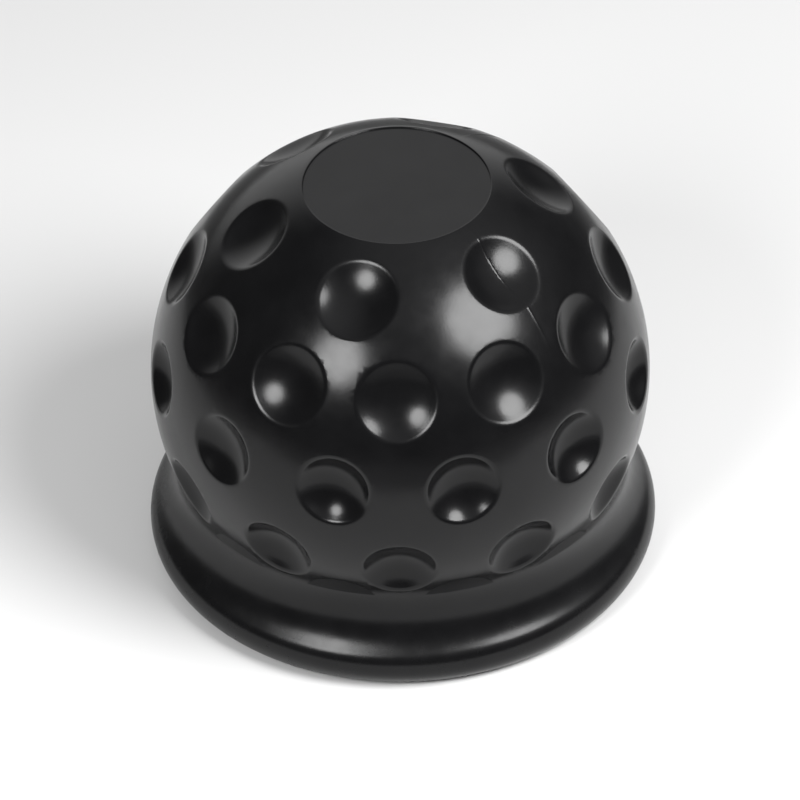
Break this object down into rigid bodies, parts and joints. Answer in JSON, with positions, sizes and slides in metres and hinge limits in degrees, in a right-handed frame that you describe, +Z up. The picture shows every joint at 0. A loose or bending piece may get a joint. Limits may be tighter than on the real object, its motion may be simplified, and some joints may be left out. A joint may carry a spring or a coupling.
{
  "type": "tow ball cover",
  "caption": "Soft push-on cover for a tow ball: a dimpled round head with a flat land on top, a flared skirt with a rounded lip, and a domed bore open underneath.",
  "frame": {"origin": "on the axis of the bore, in the plane of the foot", "axes": "+Z up the axis of the bore to the land on top; -Y is the front, the side the picture shows; +X is to the right seen from the front"},
  "size_m": [0.0678, 0.0678, 0.0578],
  "materials": {
    "cover": "satin moulded black"
  },
  "bodies": {
    "root": {"cover": "cover"}
  },
  "joints": []
}
